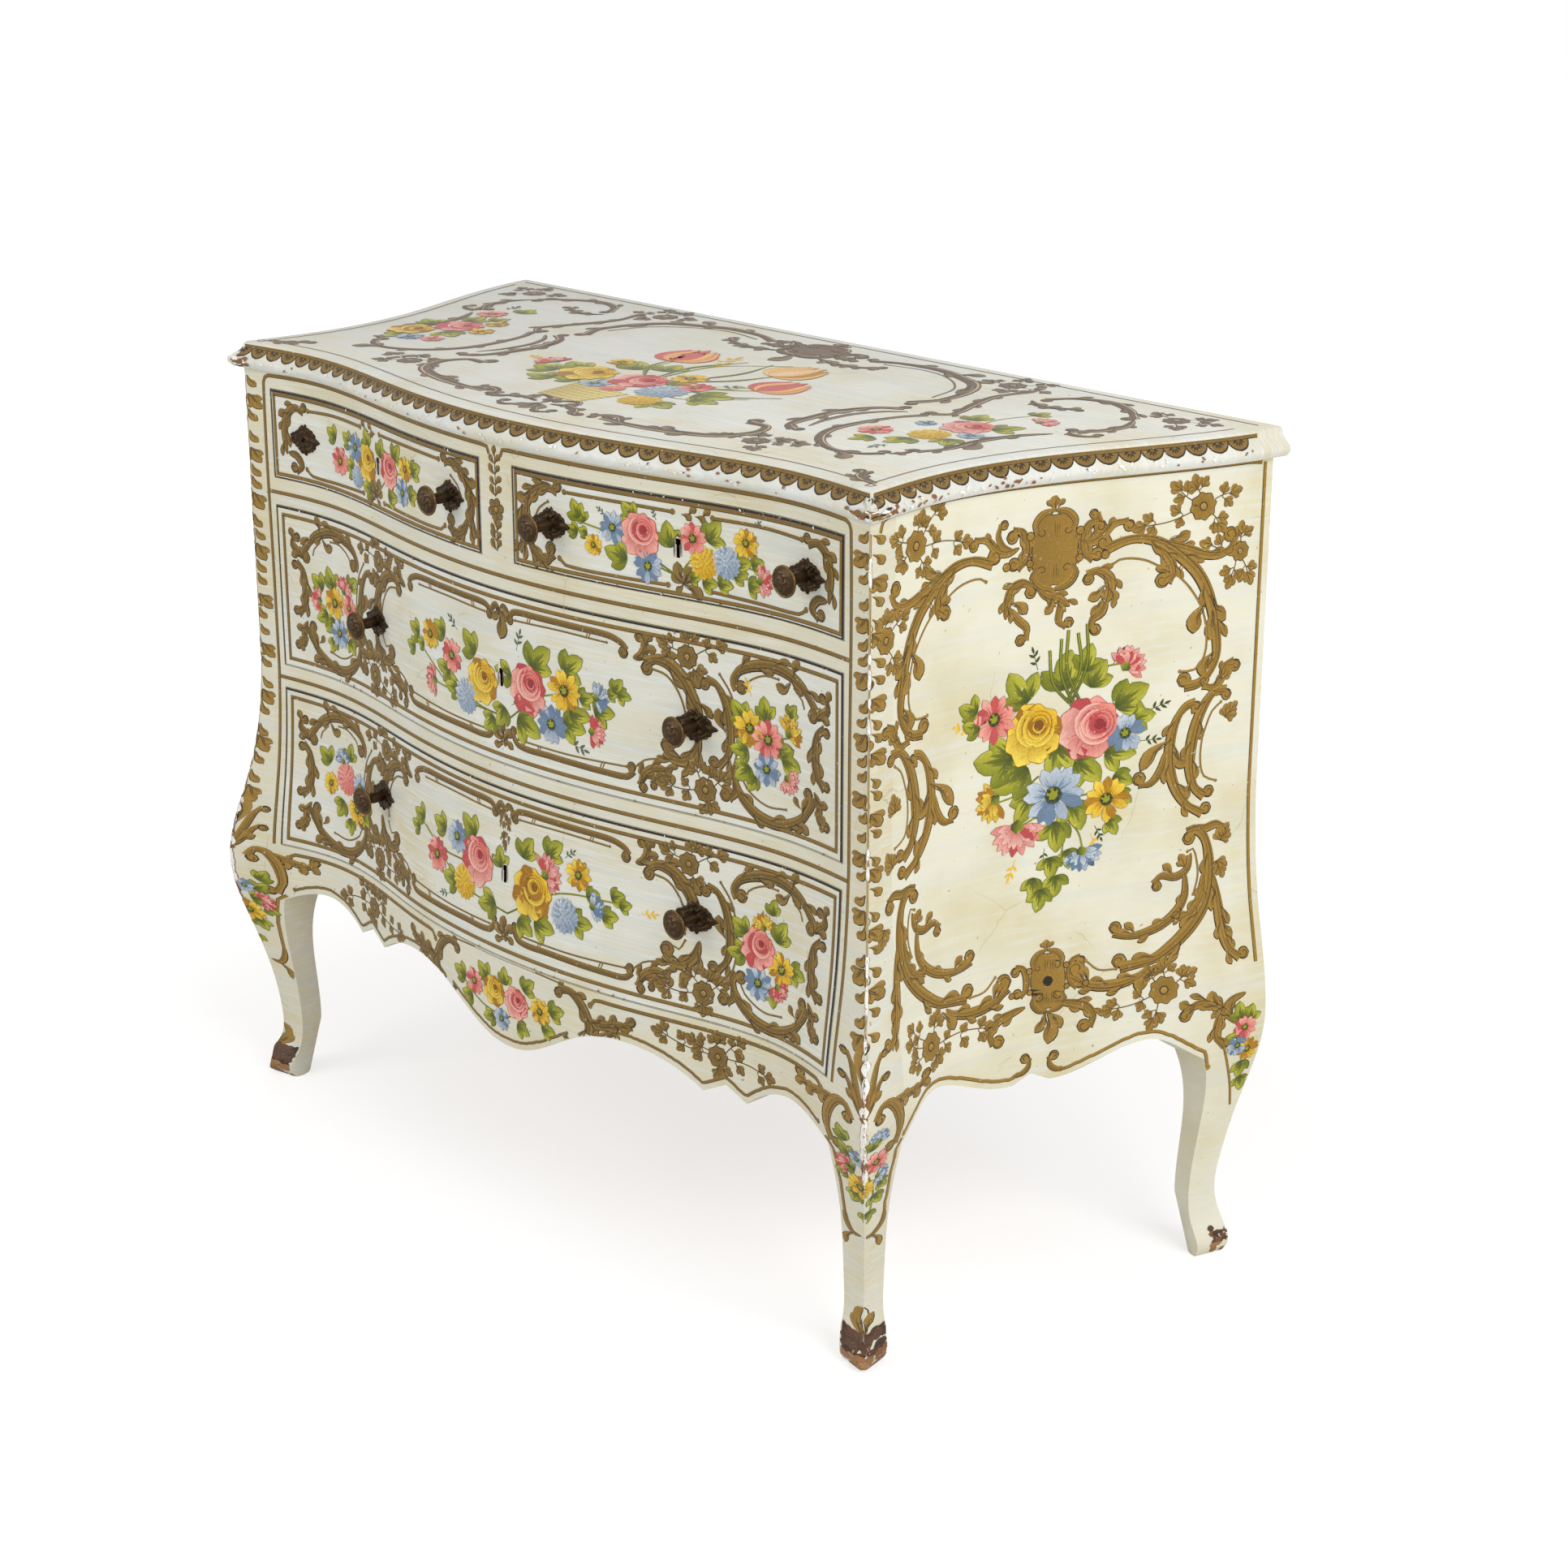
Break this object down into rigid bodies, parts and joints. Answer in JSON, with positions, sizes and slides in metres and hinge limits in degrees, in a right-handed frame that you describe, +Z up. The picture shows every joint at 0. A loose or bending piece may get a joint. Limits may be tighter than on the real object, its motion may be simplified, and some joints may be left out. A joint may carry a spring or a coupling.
{
  "type": "chest of drawers",
  "caption": "Painted serpentine bombe chest on cabriole legs, short drawers over long ones, moulded top, shaped apron, round knobs and locks; stores clothes or linen.",
  "frame": {"origin": "on the floor, at the middle of the chest's width and of its depth, knobs included", "axes": "+Z up, +X to the chest's left-hand neighbour as seen from behind, so to the right as seen from the front, -Y out of the front"},
  "size_m": [1.207, 0.5444, 0.88],
  "materials": {
    "painted_wood": "aged cream paint with gilt and flower decoration, satin",
    "bare_wood": "unfinished softwood",
    "bronze": "dark aged brass with a brighter rim",
    "dark_metal": "dark patinated casting",
    "iron": "dull lock iron"
  },
  "bodies": {
    "carcass": {"top_board": "painted_wood", "top_rail": "painted_wood", "upper_drawer_rail": "painted_wood", "lower_drawer_rail": "painted_wood", "front_apron": "painted_wood", "drawer_divider": "painted_wood", "back_boards": "bare_wood", "back_top_rail": "bare_wood", "back_bottom_rail": "bare_wood", "bottom_board": "bare_wood", "upper_runners": "bare_wood", "middle_runners": "bare_wood", "lower_runners": "bare_wood", "top_kickers": "bare_wood", "drawer_stops": "bare_wood", "side_panel_left": "painted_wood", "side_panel_right": "painted_wood", "back_leg_left": "painted_wood", "back_leg_right": "painted_wood", "front_leg_left": "painted_wood", "front_leg_right": "painted_wood"},
    "upper_left_drawer": {"upper_left_drawer_front": "painted_wood", "upper_left_drawer_side_left": "bare_wood", "upper_left_drawer_side_right": "bare_wood", "upper_left_drawer_bottom": "bare_wood", "upper_left_drawer_back": "bare_wood", "upper_left_drawer_plates": "dark_metal", "upper_left_drawer_knobs": "bronze", "upper_left_lock_case": "iron"},
    "upper_left_bolt": {"upper_left_lock_bolt": "iron"},
    "upper_right_drawer": {"upper_right_drawer_front": "painted_wood", "upper_right_drawer_side_left": "bare_wood", "upper_right_drawer_side_right": "bare_wood", "upper_right_drawer_bottom": "bare_wood", "upper_right_drawer_back": "bare_wood", "upper_right_drawer_plates": "dark_metal", "upper_right_drawer_knobs": "bronze", "upper_right_lock_case": "iron"},
    "upper_right_bolt": {"upper_right_lock_bolt": "iron"},
    "middle_drawer": {"middle_drawer_front": "painted_wood", "middle_drawer_side_left": "bare_wood", "middle_drawer_side_right": "bare_wood", "middle_drawer_bottom": "bare_wood", "middle_drawer_back": "bare_wood", "middle_drawer_plates": "dark_metal", "middle_drawer_knobs": "bronze", "middle_lock_case": "iron"},
    "middle_bolt": {"middle_lock_bolt": "iron"},
    "lower_drawer": {"lower_drawer_front": "painted_wood", "lower_drawer_side_left": "bare_wood", "lower_drawer_side_right": "bare_wood", "lower_drawer_bottom": "bare_wood", "lower_drawer_back": "bare_wood", "lower_drawer_plates": "dark_metal", "lower_drawer_knobs": "bronze", "lower_lock_case": "iron"},
    "lower_bolt": {"lower_lock_bolt": "iron"}
  },
  "joints": [
    {"name": "upper_left_drawer_slide", "type": "slide", "parent": "carcass", "child": "upper_left_drawer", "axis": [0, -1, 0], "range_m": [0, 0.33]},
    {"name": "upper_left_bolt_slide", "type": "slide", "parent": "upper_left_drawer", "child": "upper_left_bolt", "axis": [0, 0, 1], "range_m": [0, 0.008]},
    {"name": "upper_right_drawer_slide", "type": "slide", "parent": "carcass", "child": "upper_right_drawer", "axis": [0, -1, 0], "range_m": [0, 0.33]},
    {"name": "upper_right_bolt_slide", "type": "slide", "parent": "upper_right_drawer", "child": "upper_right_bolt", "axis": [0, 0, 1], "range_m": [0, 0.008]},
    {"name": "middle_drawer_slide", "type": "slide", "parent": "carcass", "child": "middle_drawer", "axis": [0, -1, 0], "range_m": [0, 0.33]},
    {"name": "middle_bolt_slide", "type": "slide", "parent": "middle_drawer", "child": "middle_bolt", "axis": [0, 0, 1], "range_m": [0, 0.008]},
    {"name": "lower_drawer_slide", "type": "slide", "parent": "carcass", "child": "lower_drawer", "axis": [0, -1, 0], "range_m": [0, 0.33]},
    {"name": "lower_bolt_slide", "type": "slide", "parent": "lower_drawer", "child": "lower_bolt", "axis": [0, 0, 1], "range_m": [0, 0.008]}
  ]
}
